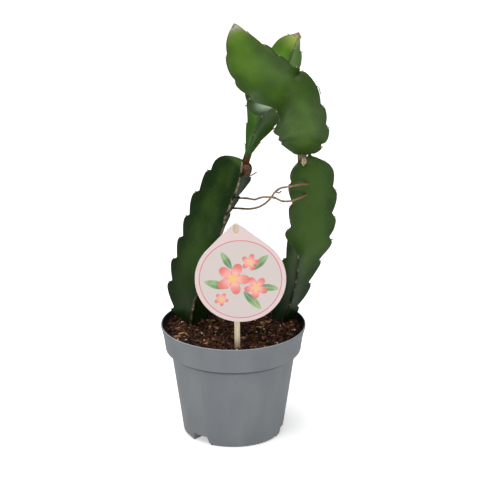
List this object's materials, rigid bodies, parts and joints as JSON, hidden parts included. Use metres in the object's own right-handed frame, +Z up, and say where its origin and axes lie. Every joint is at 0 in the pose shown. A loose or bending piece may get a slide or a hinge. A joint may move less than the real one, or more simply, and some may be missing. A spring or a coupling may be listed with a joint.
{
  "type": "potted dragon fruit cactus",
  "caption": "Young potted dragon fruit cactus: three-ribbed green stems with leaning shoots and aerial roots, standing in a filled nursery pot with a round card label on a stick.",
  "frame": {"origin": "on the pot's axis, at the middle of the flat underside that the pot stands on", "axes": "+Z up along the pot's axis, +X to the right and -Y towards the viewer, with the label in front"},
  "size_m": [0.1454, 0.12, 0.359],
  "materials": {
    "pot_plastic": "satin",
    "soil": "matte",
    "old_stem": "satin",
    "young_stem": "satin",
    "root": "matte",
    "card": "matte",
    "stick_wood": "matte"
  },
  "bodies": {
    "root": {"pot": "pot_plastic", "soil": "soil", "left_stem": "old_stem", "right_stem": "young_stem", "aerial_roots": "root", "label_card": "card", "label_stick": "stick_wood"}
  },
  "joints": []
}
